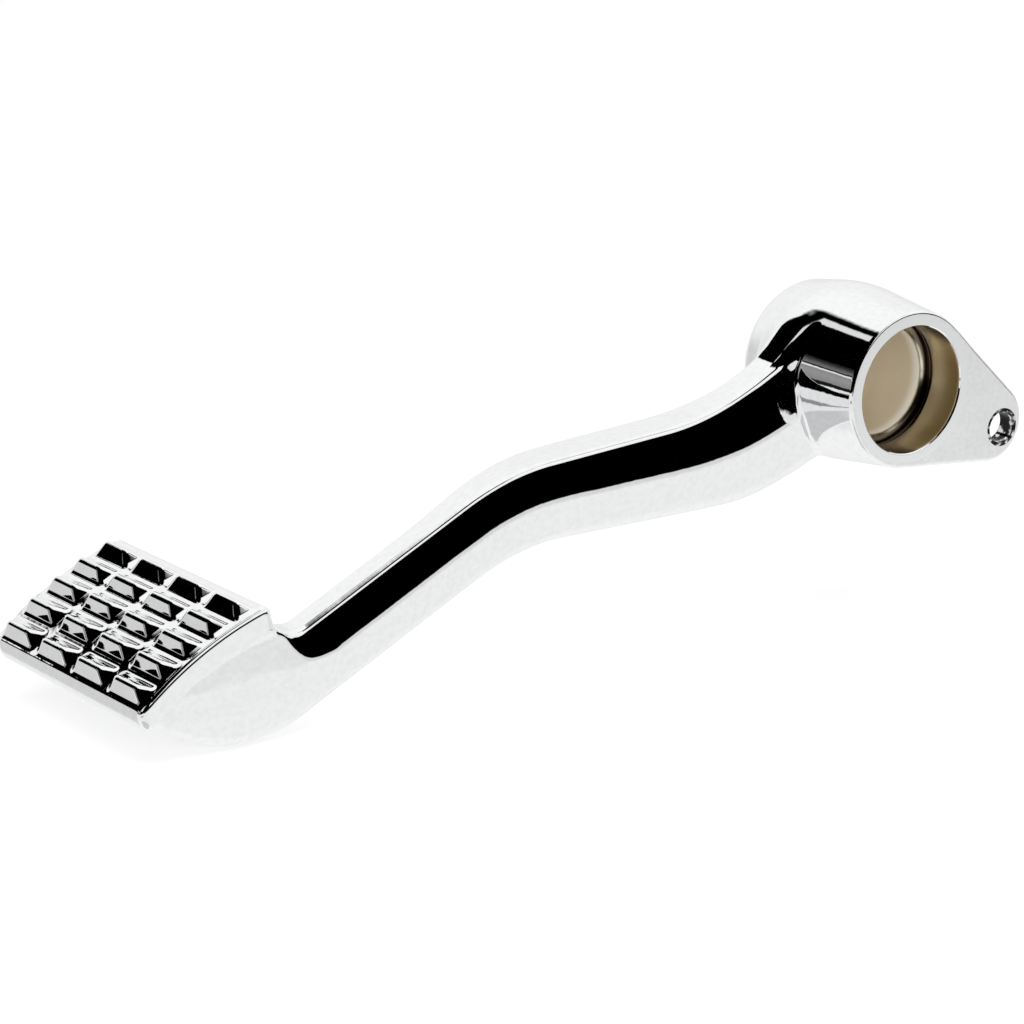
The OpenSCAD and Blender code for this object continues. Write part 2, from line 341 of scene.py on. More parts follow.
def pad_ways(turn):
    """Directions along the pad's crown and out of it, at an angle round it from straight up."""
    zero = 0 * turn
    ahead = np.stack((np.cos(turn), zero, -np.sin(turn)), -1)
    return ahead, np.stack((np.sin(turn), zero, np.cos(turn)), -1)


def pad_point(u, w, h):
    """Point at u along the crown from its middle, w across it from the near side and h above it."""
    turn = PAD_TILT + u / PAD["crown"]
    r = PAD["crown"] + h
    return np.stack((CROWN[0] + r * np.sin(turn), -PAD_INSET - w, CROWN[1] + r * np.cos(turn)), -1)


def pedal_field(p):
    """Signed distance, near enough, of the whole forging without its bores and teeth."""
    lever, along = lever_field(p)
    hub = round_min(lever, hub_field(p), 0.01 + LEVER["fillet"] * clamp01((along - 7) / 8))
    arm, over, s = arm_field(p)
    hub = round_min(hub, arm, passing(*HUB_FILLET, over, -5, 7))
    hub = round_max(hub, p[:, 1] + SHY, HUB["face_round"])
    return round_min(hub, plate_field(p), passing(*PAD_FILLET, s, 168, 12))


# Meshing


def in_chunks(field, p):
    """Values of a field at many points, a limited number of them at a time."""
    size = 200000
    return np.concatenate([field(p[i:i + size]) for i in range(0, len(p), size)])


def gradient(field, p):
    step = 0.02
    out = np.empty_like(p)
    for axis in range(3):
        shift = np.zeros(3)
        shift[axis] = step
        out[:, axis] = in_chunks(field, p + shift) - in_chunks(field, p - shift)
    return out / (2 * step)


def settle(field, points, rounds, limit):
    """Moves points onto the zero level of a field, by limit at most in a round, and returns them with its
    normals."""
    for _ in range(rounds):
        g = gradient(field, points)
        move = in_chunks(field, points)[:, None] * g / np.maximum((g * g).sum(1), 0.05)[:, None]
        points = points - np.clip(move, -limit, limit)
    normals = gradient(field, points)
    return points, normals / np.linalg.norm(normals, axis=1)[:, None]


def surface_net(field, low, high, cell):
    """Vertices, normals and quads of the zero level of a field. The field is first taken at the middle of
    each block of cells, and then at the corners of the cells of the blocks that the surface may cross."""
    block = 4
    half_diagonal = 0.87 * block * cell
    steepest = 1.7
    low = np.array(low, float)
    blocks = np.ceil((np.array(high) - low) / (cell * block)).astype(int)
    shape = blocks * block
    centres = np.stack(np.meshgrid(*[np.arange(b) for b in blocks], indexing="ij"), -1).reshape(-1, 3)
    value = in_chunks(field, low + (centres + 0.5) * block * cell)
    solid = np.where(value < 0, np.int8(1), np.int8(0)).reshape(blocks)
    for axis in range(3):
        solid = np.repeat(solid, block, axis)
    level = np.where(solid, np.float32(-1), np.float32(1))
    near = centres[np.abs(value) < half_diagonal * steepest]
    step = np.stack(np.meshgrid(*[np.arange(block)] * 3, indexing="ij"), -1).reshape(-1, 3)
    nodes = (near[:, None, :] * block + step).reshape(-1, 3)
    level[tuple(nodes.T)] = in_chunks(field, low + nodes * cell)
    inside = (level < 0).astype(np.int8)
    count = np.zeros(shape - 1, np.int8)
    corners = [(i, j, k) for i in (0, 1) for j in (0, 1) for k in (0, 1)]
    for c in corners:
        count += inside[tuple(slice(o, o + n - 1) for o, n in zip(c, shape))]
    cells = np.argwhere((count > 0) & (count < 8))
    corner_value = np.stack([level[tuple((cells + c).T)] for c in corners], 1)
    total = np.zeros((len(cells), 3))
    hits = np.zeros(len(cells))
    for a, ca in enumerate(corners):
        for b, cb in enumerate(corners):
            if b > a and sum(abs(u - v) for u, v in zip(ca, cb)) == 1:
                va, vb = corner_value[:, a], corner_value[:, b]
                cut = (va < 0) != (vb < 0)
                t = np.where(cut, va / np.where(cut, va - vb, 1), 0)
                total += np.where(cut[:, None], np.array(ca) + t[:, None] * (np.array(cb) - ca), 0)
                hits += cut
    points = low + (cells + total / hits[:, None]) * cell
    points, normals = settle(field, points, 3, 0.6 * cell)
    index = np.full(shape - 1, -1, np.int32)
    index[tuple(cells.T)] = np.arange(len(cells))
    quads = []
    for axis in range(3):
        u, v = (axis + 1) % 3, (axis + 2) % 3
        ahead = [slice(None)] * 3
        behind = [slice(None)] * 3
        ahead[axis] = slice(1, None)
        behind[axis] = slice(0, -1)
        change = inside[tuple(ahead)] - inside[tuple(behind)]
        edge = np.argwhere(change != 0)
        sign = change[tuple(edge.T)]
        du, dv = np.zeros(3, int), np.zeros(3, int)
        du[u], dv[v] = 1, 1
        ring = np.stack([index[tuple((edge - o).T)] for o in (du + dv, dv, 0 * du, du)], 1)
        ring[sign > 0] = ring[sign > 0][:, ::-1]
        quads.append(ring)
    return points, normals, np.concatenate(quads)


def add_mesh(name, points, faces, normals):
    """A shown mesh object from points in millimetres, smooth shaded, with the given vertex normals."""
    mesh = bpy.data.meshes.new(name)
    mesh.from_pydata((np.asarray(points) * MM).tolist(), [], [list(map(int, f)) for f in faces])
    mesh.update()
    mesh.shade_smooth()
    mesh.normals_split_custom_set_from_vertices(np.asarray(normals).tolist())
    obj = bpy.data.objects.new(name, mesh)
    bpy.context.scene.collection.objects.link(obj)
    return obj


def compact(points, normals, faces):
    """The points and normals that the faces use, and the faces numbered for them."""
    used, inverse = np.unique(faces, return_inverse=True)
    return points[used], normals[used], inverse.reshape(faces.shape)


def grid_faces(rows, columns, closed=False):
    """Quads between the points of a grid, listed row by row. A closed grid's last row meets its first."""
    i, j = np.meshgrid(np.arange(rows if closed else rows - 1), np.arange(columns - 1), indexing="ij")
    here, ahead = i * columns + j, (i + 1) % rows * columns + j
    return np.stack((here, ahead, ahead + 1, here + 1), -1).reshape(-1, 4)


def facing_out(points, faces, normals):
    """The faces, all turned over where the first of them looks against its normal."""
    quad = points[faces[0]]
    if np.cross(quad[1] - quad[0], quad[3] - quad[0]) @ normals[faces[0][0]] < 0:
        return faces[:, ::-1]
    return faces


def edge_band(name, corner, along_a, along_b, radius, reach, closed=False):
    """A fine strip over a rounded edge of the forging, with its lines along the edge. corner is the sharp
    edge before rounding, and along_a and along_b lead from it into the two faces."""
    rows = [along_a * (radius + reach * k) for k in (1.0, 0.9, 0.3)]
    for j in range(STRIP_STEPS + 1):
        phi = math.pi / 2 * j / STRIP_STEPS
        rows.append(along_a * radius * (1 - math.sin(phi)) + along_b * radius * (1 - math.cos(phi)))
    rows += [along_b * (radius + reach * k) for k in (0.3, 0.9, 1.0)]
    points = corner[:, None, :] + np.stack(rows, 1)
    count, across = points.shape[:2]
    flat, normals = settle(pedal_field, points.reshape(-1, 3), 4, 0.4)
    raised = np.full((count, across), STRIP_LIFT)
    raised[:, (0, -1)] = STRIP_SUNK
    if not closed:
        raised[(0, -1), :] = STRIP_END_SUNK
    flat = flat + normals * raised.reshape(-1, 1)
    faces = facing_out(flat, grid_faces(count, across, closed), normals)
    return add_mesh(name, flat, faces, normals)


def rounded_profile(corners):
    """An open line in (radius, y) with its inner corners rounded. corners holds (radius, y, round)."""
    steps = 5
    out = []
    for i, (r, y, round_r) in enumerate(corners):
        here = np.array((r, y), float)
        if i in (0, len(corners) - 1) or round_r == 0:
            out.append(here)
            continue
        a = np.array(corners[i - 1][:2], float) - here
        b = np.array(corners[i + 1][:2], float) - here
        a /= np.linalg.norm(a)
        b /= np.linalg.norm(b)
        half = math.acos(float(np.clip(a @ b, -1, 1))) / 2
        centre = here + (a + b) / np.linalg.norm(a + b) * round_r / math.sin(half)
        start = here + a * round_r / math.tan(half) - centre
        stop = here + b * round_r / math.tan(half) - centre
        t0 = math.atan2(start[1], start[0])
        sweep = (math.atan2(stop[1], stop[0]) - t0 + math.pi) % (2 * math.pi) - math.pi
        for j in range(steps + 1):
            t = t0 + sweep * j / steps
            out.append(centre + round_r * np.array((math.cos(t), math.sin(t))))
    return np.array(out)


def profile_normals(line):
    """Normal at each point of a profile: the mean of its two legs, or that of a much longer leg alone."""
    legs = np.diff(line, axis=0)
    lengths = np.linalg.norm(legs, axis=1)
    turned = np.stack((legs[:, 1], -legs[:, 0]), 1) / lengths[:, None]
    out = np.zeros_like(line)
    for i in range(len(line)):
        for j in (i - 1, i):
            if 0 <= j < len(legs):
                out[i] += turned[j] * lengths[j] ** 2
    return out / np.linalg.norm(out, axis=1)[:, None]


def lathe(name, line, turns, centre=(0.0, 0.0)):
    """Surface of revolution about an axis along Y through centre, given as (x, z), that faces the axis."""
    line_normals = profile_normals(line)
    t = np.arange(turns) * 2 * math.pi / turns
    cos, sin = np.cos(t)[:, None], np.sin(t)[:, None]
    points = np.stack((
        line[None, :, 0] * cos + centre[0], line[None, :, 1] + 0 * cos,
        line[None, :, 0] * sin + centre[1]), -1)
    normals = np.stack((
        line_normals[None, :, 0] * cos, line_normals[None, :, 1] + 0 * cos,
        line_normals[None, :, 0] * sin), -1)
    faces = grid_faces(turns, len(line), True)[:, ::-1]
    return add_mesh(name, points.reshape(-1, 3), faces, normals.reshape(-1, 3))


# Materials


class Tree:
    """Short calls for building a node tree."""

    def __init__(self, tree):
        self.tree = tree
        self.column = 0

    def node(self, kind, **values):
        made = self.tree.nodes.new(kind)
        made.location = (self.column * 180, 0)
        self.column += 1
        for name, value in values.items():
            setattr(made, name, value)
        return made

    def link(self, source, target):
        self.tree.links.new(source, target)

    def feed(self, socket, value):
        if isinstance(value, bpy.types.NodeSocket):
            self.link(value, socket)
        else:
            socket.default_value = value

    def math(self, operation, *values):
        made = self.node("ShaderNodeMath", operation=operation)
        for socket, value in zip(made.inputs, values):
            self.feed(socket, value)
        return made.outputs[0]

    def span(self, value, low, high, to_low=0.0, to_high=1.0):
        """A smooth passage from to_low at low to to_high at high."""
        made = self.node("ShaderNodeMapRange", interpolation_type="SMOOTHSTEP")
        for socket, given in zip(made.inputs, (value, low, high, to_low, to_high)):
            self.feed(socket, given)
        return made.outputs[0]

    def noise(self, vector, scale, detail=2.0):
        made = self.node("ShaderNodeTexNoise")
        self.feed(made.inputs["Vector"], vector)
        made.inputs["Scale"].default_value = scale
        made.inputs["Detail"].default_value = detail
        return made.outputs["Fac"]

    def ramp(self, value, stops):
        """Brightness along a value, from stops of (value, brightness)."""
        low, high = stops[0][0], stops[-1][0]
        share = self.math("DIVIDE", self.math("SUBTRACT", value, low), high - low)
        made = self.node("ShaderNodeValToRGB")
        self.feed(made.inputs[0], share)
        line = made.color_ramp.elements
        for place, bright in stops[1:-1]:
            line.new((place - low) / (high - low))
        for element, (place, bright) in zip(line, stops):
            element.position = (place - low) / (high - low)
            element.color = (bright, bright, bright, 1)
        return made.outputs["Color"]

    def blend(self, factor, a, b):
        made = self.node("ShaderNodeMix", data_type="RGBA")
        self.feed(made.inputs["Factor"], factor)
        self.feed(made.inputs["A"], a)
        self.feed(made.inputs["B"], b)
        return made.outputs["Result"]

    def mix(self, a, b, factor):
        made = self.node("ShaderNodeMix", data_type="FLOAT")
        self.feed(made.inputs["Factor"], factor)
        self.feed(made.inputs["A"], a)
        self.feed(made.inputs["B"], b)
        return made.outputs["Result"]

    def bump(self, height, distance, strength, normal=None):
        made = self.node("ShaderNodeBump")
        made.inputs["Distance"].default_value = distance
        self.link(height, made.inputs["Height"])
        self.feed(made.inputs["Strength"], strength)
        if normal is not None:
            self.link(normal, made.inputs["Normal"])
        return made.outputs["Normal"]

    def parts(self, vector):
        made = self.node("ShaderNodeSeparateXYZ")
        self.feed(made.inputs[0], vector)
        return made.outputs


def new_group(name, inputs, outputs):
    """A node group with inputs of (label, socket type, default) and outputs of (label, socket type)."""
    tree = bpy.data.node_groups.new(name, "ShaderNodeTree")
    for label, kind, default in inputs:
        socket = tree.interface.new_socket(label, in_out="INPUT", socket_type=kind)
        if default is not None:
            socket.default_value = default
    for label, kind in outputs:
        tree.interface.new_socket(label, in_out="OUTPUT", socket_type=kind)
    return tree, Tree(tree)


def studio_group():
    """Brightness of the studio in each direction, as polished metal shows it: a white ceiling card and sweep
    behind the pedal, a pale table, and the dark room to the front and beside the table."""
    tree, t = new_group("studio_tone", [("Direction", "NodeSocketVector", None)],
                        [("Tone", "NodeSocketFloat")])
    source = t.node("NodeGroupInput")
    x, y, z = t.parts(source.outputs["Direction"])
    azimuth = t.math("DEGREES", t.math("ARCTAN2", y, x))
    flat = t.math("SQRT", t.math("ADD", t.math("MULTIPLY", x, x), t.math("MULTIPLY", y, y)))
    elevation = t.math("DEGREES", t.math("ARCTAN2", z, flat))
    # Place of each direction on a ceiling at height 1
    rise = t.math("MAXIMUM", z, 0.001)
    over_x, over_y = t.math("DIVIDE", x, rise), t.math("DIVIDE", y, rise)

    def patch(tone, bright, *sides):
        """The tone, with another brightness where every side's value lies between its low and its high."""
        cover = 1.0
        for value, low, high, soft in sides:
            entered = t.span(value, low - soft, low + soft)
            left = t.span(value, high - soft, high + soft, 1.0, 0.0)
            cover = t.math("MULTIPLY", cover, t.math("MULTIPLY", entered, left))
        return t.mix(tone, bright, cover)

    # Table: pale, greyer towards its far side and beside the camera, and darker under it
    table = t.span(elevation, -60.0, -10.0, 0.95, 0.84)
    table = patch(table, 0.66, (azimuth, -75, -46, 8.0), (elevation, -40, 20, 10.0))
    beside = t.span(elevation, -19.5, -14.0, 0.89, 0.71)
    table = patch(table, beside, (azimuth, 95, 150, 8.0), (elevation, -30, 0, 4.0))
    table = patch(table, 0.62, (azimuth, 20, 95, 6.0), (elevation, -75, -33, 3.0))
    table = patch(table, 0.30, (azimuth, 10, 48, 4.0), (elevation, -17.5, -14, 0.8))
    ceiling = t.span(elevation, 22.0, 48.0, 0.93, 1.0)
    tone = t.mix(table, ceiling, t.span(elevation, 0.0, 20.0))
    # Dark room to the front of the ceiling card, whose edge steps in above the camera. It ends over the white
    # sweep behind the pedal, whose top falls towards the front.
    steps_in = ((-0.6, 0.41), (-0.4, 0.49), (0.6, 0.49), (0.78, 0.09), (1.05, 0.09), (1.2, 0.45))
    along_edge = t.span(over_y, steps_in[0][0], steps_in[-1][0], steps_in[0][0], steps_in[-1][0])
    edge = t.math("SUBTRACT", t.ramp(along_edge, steps_in), 0.3)
    soft = t.span(over_y, -1.05, -0.85, 0.015, 0.05)
    front = t.span(t.math("DIVIDE", t.math("SUBTRACT", over_x, edge), soft), -1.0, 1.0)
    sweep_top = t.span(azimuth, -76.0, -58.0, 33.0, 1.0)
    front = t.math("MULTIPLY", front, t.span(t.math("SUBTRACT", elevation, sweep_top), -0.6, 0.6))
    tone = t.mix(tone, 0.0, front)
    # Strip lamp in the dark part of the ceiling
    tone = patch(tone, 0.76, (over_x, 0.28, 0.44, 0.02), (over_y, -0.79, -0.60, 0.01))
    # Dark room behind the camera and beside it, with a thin ceiling rail above
    tone = patch(tone, 0.0, (azimuth, 48, 152, 3.0), (elevation, -10, 17, 0.8))
    tone = patch(tone, 0.0, (azimuth, -8, 48, 3.0), (elevation, -4.5, 27, 0.5))
    tone = patch(tone, 0.15, (azimuth, 95, 165, 6.0), (elevation, 57, 60, 1.5))
    # Lit shelves beside the camera: elevation, brightness
    shelves = (
        (-6.0, 0.75), (-5.0, 0.75), (-4.6, 0.01), (-1.4, 0.01), (-0.8, 0.24), (6.0, 0.30), (10.6, 0.26),
        (11.2, 0.80), (12.2, 0.80), (12.6, 0.01), (13.6, 0.01), (14.4, 0.17), (19.0, 0.03), (22.0, 0.0))
    streaks = t.ramp(elevation, shelves)
    tone = patch(tone, streaks, (azimuth, -44, -5, 2.0), (elevation, -6, 21, 1.0))
    target = t.node("NodeGroupOutput")
    t.link(tone, target.inputs["Tone"])
    return tree


def chrome_group():
    """Polished plating: a faint mottle, a haze of finer and coarser polish, and an uneven face."""
    tree, t = new_group(
        "chrome_surface",
        [("Colour", "NodeSocketColor", (0.9, 0.9, 0.9, 1)), ("Waviness", "NodeSocketFloat", 0.3)],
        [("Colour", "NodeSocketColor"), ("Roughness", "NodeSocketFloat"), ("Normal", "NodeSocketVector")])
    source = t.node("NodeGroupInput")
    place = t.node("ShaderNodeTexCoord").outputs["Object"]
    haze = t.noise(place, 120.0, 3.0)
    rough = t.span(haze, 0.3, 0.75, 0.012, 0.035)
    mottle = t.span(t.noise(place, 650.0, 2.0), 0.35, 0.7)
    colour = t.blend(mottle, source.outputs["Colour"], (0.90, 0.905, 0.91, 1))
    wave = t.bump(t.noise(place, 70.0, 1.0), 0.0004, source.outputs["Waviness"])
    ripple = t.bump(t.noise(place, 480.0, 1.0), 0.00004, source.outputs["Waviness"], wave)
    target = t.node("NodeGroupOutput")
    t.link(colour, target.inputs["Colour"])
    t.link(rough, target.inputs["Roughness"])
    t.link(ripple, target.inputs["Normal"])
    return tree


def principled(name):
    material = bpy.data.materials.new(name)
    material.use_nodes = True
    t = Tree(material.node_tree)
    shader = material.node_tree.nodes["Principled BSDF"]
    return material, t, shader


def chrome_material():
    material, t, shader = principled("chrome_plate")
    settings = bpy.context.scene.pedal_looks
    shader.inputs["Metallic"].default_value = 1.0
    group = t.node("ShaderNodeGroup", node_tree=chrome_group())
    group.inputs["Colour"].default_value = (*settings.chrome_colour, 1)
    group.inputs["Waviness"].default_value = settings.waviness
    t.link(group.outputs["Colour"], shader.inputs["Base Color"])
    t.link(group.outputs["Roughness"], shader.inputs["Roughness"])
    t.link(group.outputs["Normal"], shader.inputs["Normal"])
    return material


def bore_material():
    """Chrome at the mouth that thins to the matt tan undercoat inside the bore."""
    material, t, shader = principled("bore_finish")
    settings = bpy.context.scene.pedal_looks
    place = t.node("ShaderNodeTexCoord").outputs["Object"]
    parts = t.parts(place)
    depth, height = t.math("MULTIPLY", parts[1], -1.0), parts[2]
    cloud = t.noise(place, 160.0, 4.0)
    shoulder, end = BORE["depth"] * MM, HUB["length"] * MM
    inner = t.span(depth, shoulder + 0.0007, shoulder + 0.0013)
    warm = t.span(depth, 0.0003, 0.0010)
    warm = t.math("MULTIPLY", warm, t.span(depth, end - 0.0010, end - 0.0004, 1.0, 0.0))
    # The undercoat is clouded, and light where it meets the shoulder: a painted glow of light, nearly white
    stained_tan, painted_glow_tan = (0.62, 0.54, 0.38, 1), (1.0, 0.97, 0.88, 1)
    # Painted light: the undercoat turns nearly white over the first few millimetres past the shoulder
    painted_glow = t.span(depth, shoulder + 0.0010, shoulder + 0.0050, 1.0, 0.0)
    tan = t.blend(t.span(cloud, 0.3, 0.7, 0.0, 0.3), (*settings.undercoat_colour, 1), stained_tan)
    tan = t.blend(painted_glow, tan, painted_glow_tan)
    # The recess is brightest beside its shoulder and towards the top, as painted sheen with painted shade
    # lower down, and its groove is nearly black with painted shade
    dark_gold, painted_sheen_gold = (0.42, 0.34, 0.19, 1), (0.97, 0.90, 0.76, 1)
    painted_shade_gold, groove_shade_brown = (0.30, 0.27, 0.18, 1), (0.10, 0.07, 0.05, 1)
    # Painted sheen: the recess brightens towards its shoulder, over a cloud of random tone
    sheen_and_cloud = t.math("ADD", t.span(depth, 0.0015, 0.0090), t.math("MULTIPLY", cloud, 0.5))
    gold = t.blend(t.span(sheen_and_cloud, 0.2, 1.3), dark_gold, painted_sheen_gold)
    # Painted shade: the recess darkens towards its bottom
    gold = t.blend(t.span(height, -0.013, 0.012, 0.5, 0.0), gold, painted_shade_gold)
    # Painted shade: the relief groove is turned nearly black
    groove = t.math("MULTIPLY", t.span(depth, shoulder - 0.0016, shoulder - 0.0013),
                    t.span(depth, shoulder - 0.0001, shoulder + 0.0003, 1.0, 0.0))
    gold = t.blend(groove, gold, groove_shade_brown)
    colour = t.blend(warm, (*settings.chrome_colour, 1), gold)
    colour = t.blend(inner, colour, tan)
    t.link(colour, shader.inputs["Base Color"])
    t.link(t.math("SUBTRACT", 1.0, inner), shader.inputs["Metallic"])
    matt = t.math("ADD", t.math("MULTIPLY", warm, 0.16), t.math("MULTIPLY", inner, 0.5))
    rough = t.math("ADD", 0.04, matt)
    t.link(rough, shader.inputs["Roughness"])
    return material


def eye_material():
    """Thin plating on the wall of the lever's eye, with near-black patches at random that are painted
    reflection.
    """
    material, t, shader = principled("eye_finish")
    place = t.node("ShaderNodeTexCoord").outputs["Object"]
    # Painted reflection: near-black patches at random over the eye's plating
    dark_reflection_patches = t.span(t.noise(place, 420.0, 3.0), 0.50, 0.62)
    colour = t.blend(dark_reflection_patches, (0.02, 0.02, 0.02, 1), (0.80, 0.80, 0.80, 1))
    t.link(colour, shader.inputs["Base Color"])
    shader.inputs["Metallic"].default_value = 1.0
    shader.inputs["Roughness"].default_value = 0.12
    return material


def shared_material(name, build):
    """The material of that name, built on its first use."""
    return bpy.data.materials.get(name) or build()


def dress(obj, material):
    """Gives a piece its material, and has it replace the forging of the CAD model."""
    obj.data.materials.clear()
    obj.data.materials.append(material)
    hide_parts(NODE)
    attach(obj, "root")
    return obj


# Operators


class PedalLooks(bpy.types.PropertyGroup):
    chrome_colour: bpy.props.FloatVectorProperty(
        name="Chrome colour", description="Colour that the plating gives to what it reflects",
        subtype="COLOR", size=3, min=0, max=1, default=(0.945, 0.95, 0.955))
    undercoat_colour: bpy.props.FloatVectorProperty(
        name="Undercoat colour", description="Matt tan finish inside the pivot bore",
        subtype="COLOR", size=3, min=0, max=1, default=(0.70, 0.61, 0.45))
    waviness: bpy.props.FloatProperty(
        name="Waviness", description="Unevenness of the polished faces", default=0.25, min=0, max=1)
    cell: bpy.props.FloatProperty(
        name="Mesh cell", description="Size of the cells that the forging is meshed with",
        unit="LENGTH", default=0.0005, min=0.0003, max=0.002)
    tooth_cell: bpy.props.FloatProperty(
        name="Tooth mesh cell", description="Size of the cells that the pad's teeth are meshed with",
        unit="LENGTH", default=0.00023, min=0.0002, max=0.001)


class PEDAL_OT_forging(bpy.types.Operator):
    """Meshes the hub, the lever, the arm and the foot pad's plate as one smooth surface"""

    bl_idname = "pedal.forging"
    bl_label = "Forging"

    def execute(self, context):
        cell = context.scene.pedal_looks.cell / MM * 1.0
        points, normals, quads = surface_net(pedal_field, MESH_LOW, MESH_HIGH, cell)
        centre = points[quads].mean(1)
        # Faces under the linings of the bores and under the teeth are left out
        rho = np.hypot(centre[:, 0], centre[:, 2])
        eye = np.hypot(centre[:, 0] - EYE[0], centre[:, 2] - EYE[1])
        covered = (rho < BORE["mouth_lip"] - 0.6) & (centre[:, 1] > -1)
        covered |= (rho < BORE["end_lip"] - 0.7) & (centre[:, 1] < 1 - HUB["length"])
        covered |= (eye < LEVER["eye_r"] + 0.35) & (centre[:, 1] > -LEVER["thick"] - 1)
        x, z = centre[:, 0] - CROWN[0], centre[:, 2] - CROWN[1]
        u = (np.arctan2(x, z) - PAD_TILT) * PAD["crown"]
        w = np.abs(-centre[:, 1] - PAD_INSET - PAD["width"] / 2)
        margin = 0.6
        under = np.abs(u) < PITCH_LEN * TOOTH["rows"] / 2 - margin
        under &= w < PITCH_W * TOOTH["cols"] / 2 - margin
        covered |= under & (np.abs(np.hypot(x, z) - PAD["crown"]) < margin)
        quads, centre = quads[~covered], centre[~covered]
        where = np.digitize(centre[:, 0], CUTS)
        material = shared_material("chrome_plate", chrome_material)
        for part, name in enumerate(("hub_and_lever", "crank_arm", "foot_pad_plate")):
            chosen = quads[where == part]
            if not len(chosen):
                raise RuntimeError("No faces were made for " + name)
            p, n, f = compact(points, normals, chosen)
            dress(add_mesh(name, p, f, n), material)
        return {"FINISHED"}


def walk_round(points, ways, step):
    """Points about a step apart along a closed line of corners, and their outward directions."""
    all_points, all_ways = [], []
    for k, (here, way) in enumerate(zip(points, ways)):
        ahead, next_way = points[(k + 1) % len(points)], ways[(k + 1) % len(points)]
        steps = max(1, int(np.linalg.norm(ahead - here) / step))
        for j in range(steps):
            all_points.append(here + (ahead - here) * j / steps)
            all_ways.append(way + (next_way - way) * j / steps)
    return np.array(all_points), np.array(all_ways)


def face_outline():
    """Outline of the hub's end face and the lever together: points and outward directions, as (x, z)."""
    tangent = math.acos((HUB["mouth"] - LEVER["end_r"]) / LEVER_LENGTH)
    hub_arc = (0.0, HUB["mouth"], LEVER_TURN + tangent, LEVER_TURN - tangent + 2 * math.pi)
    eye_arc = (LEVER_LENGTH, LEVER["end_r"], LEVER_TURN - tangent, LEVER_TURN + tangent)
    points, ways = [], []
    for centre, r, start, stop in (hub_arc, eye_arc):
        steps = int(abs(stop - start) * r / 0.4)
        for a in np.linspace(start, stop, steps + 1):
            way = np.array((math.cos(a), math.sin(a)))
            points.append(np.array((math.cos(LEVER_TURN), math.sin(LEVER_TURN))) * centre + way * r)
            ways.append(way)
    return walk_round(points, ways, 0.5)


def arm_edge(far):
    """Sharp top edge of the arm on its near or far side, with the ways along its top and down its side."""
    s = np.arange(28.0, SEAT_S + 1, 0.5)
    top = path_height(TOP_PATH, s)
    half = (top - path_height(LOW_PATH, s)) / 2
    n = arm_width(s) - FAR_LEAN if far else FOLD * half * arm_lean(s, 0)
    side = -1.0 if far else 1.0
    corner = np.stack((s * COS_SPLAY - (ARM["inset"] + n) * SIN_SPLAY,
                       -s * SIN_SPLAY - (ARM["inset"] + n) * COS_SPLAY, top), 1)
    across = np.tile((-side * SIN_SPLAY, -side * COS_SPLAY, 0.0), (len(s), 1))
    down = np.tile((0.0, 0.0, -1.0), (len(s), 1))
    return corner, across, down


def plate_outline():
    """Closed top outline of the pad's plate, with the ways into its top and down its wall."""
    front = (math.asin((PAD_FRONT - CROWN[0]) / PAD["crown"]) - PAD_TILT) * PAD["crown"]
    rear, half, r = -PAD["length"] / 2, PAD["width"] / 2, PAD["corner_round"]
    flat, ways = [], []
    for cx, cy, start in ((front - r, half - r, 0), (rear + r, half - r, 90), (rear + r, r - half, 180),
                          (front - r, r - half, 270)):
        for a in np.radians(np.linspace(start, start + 90, 9)):
            ways.append(np.array((math.cos(a), math.sin(a))))
            flat.append(np.array((cx + r * math.cos(a), cy + r * math.sin(a))))
    points, outs = walk_round(flat, ways, 0.6)
    ahead, up = pad_ways(PAD_TILT + points[:, 0] / PAD["crown"])
    corner = np.array((CROWN[0], -PAD_INSET - PAD["width"] / 2, CROWN[1])) + up * PAD["crown"]
    corner[:, 1] += points[:, 1]
    out = ahead * outs[:, :1] + np.array((0, 1, 0)) * outs[:, 1:]
    return corner, -out, -up


class PEDAL_OT_edges(bpy.types.Operator):
    """Lays fine strips over the rounded edges of the forging"""

    bl_idname = "pedal.edges"
    bl_label = "Edges"

    def execute(self, context):
        material = shared_material("chrome_plate", chrome_material)
        flat, ways = face_outline()
        zero = np.zeros(len(flat))
        corner = np.stack((flat[:, 0], zero - SHY, flat[:, 1]), 1)
        inward = -np.stack((ways[:, 0], zero, ways[:, 1]), 1)
        down = np.tile((0.0, -1.0, 0.0), (len(flat), 1))
        strip = edge_band("mouth_edge", corner, inward, down, HUB["face_round"], 0.8, closed=True)
        dress(strip, material)
        for far, name in ((False, "arm_near_edge"), (True, "arm_far_edge")):
            corner, across, down = arm_edge(far)
            dress(edge_band(name, corner, across, down, 1.4 if far else 1.1, 1.2), material)
        corner, inward, down = plate_outline()
        dress(edge_band("pad_edge", corner, inward, down, 1.2, 0.7, closed=True), material)
        return {"FINISHED"}


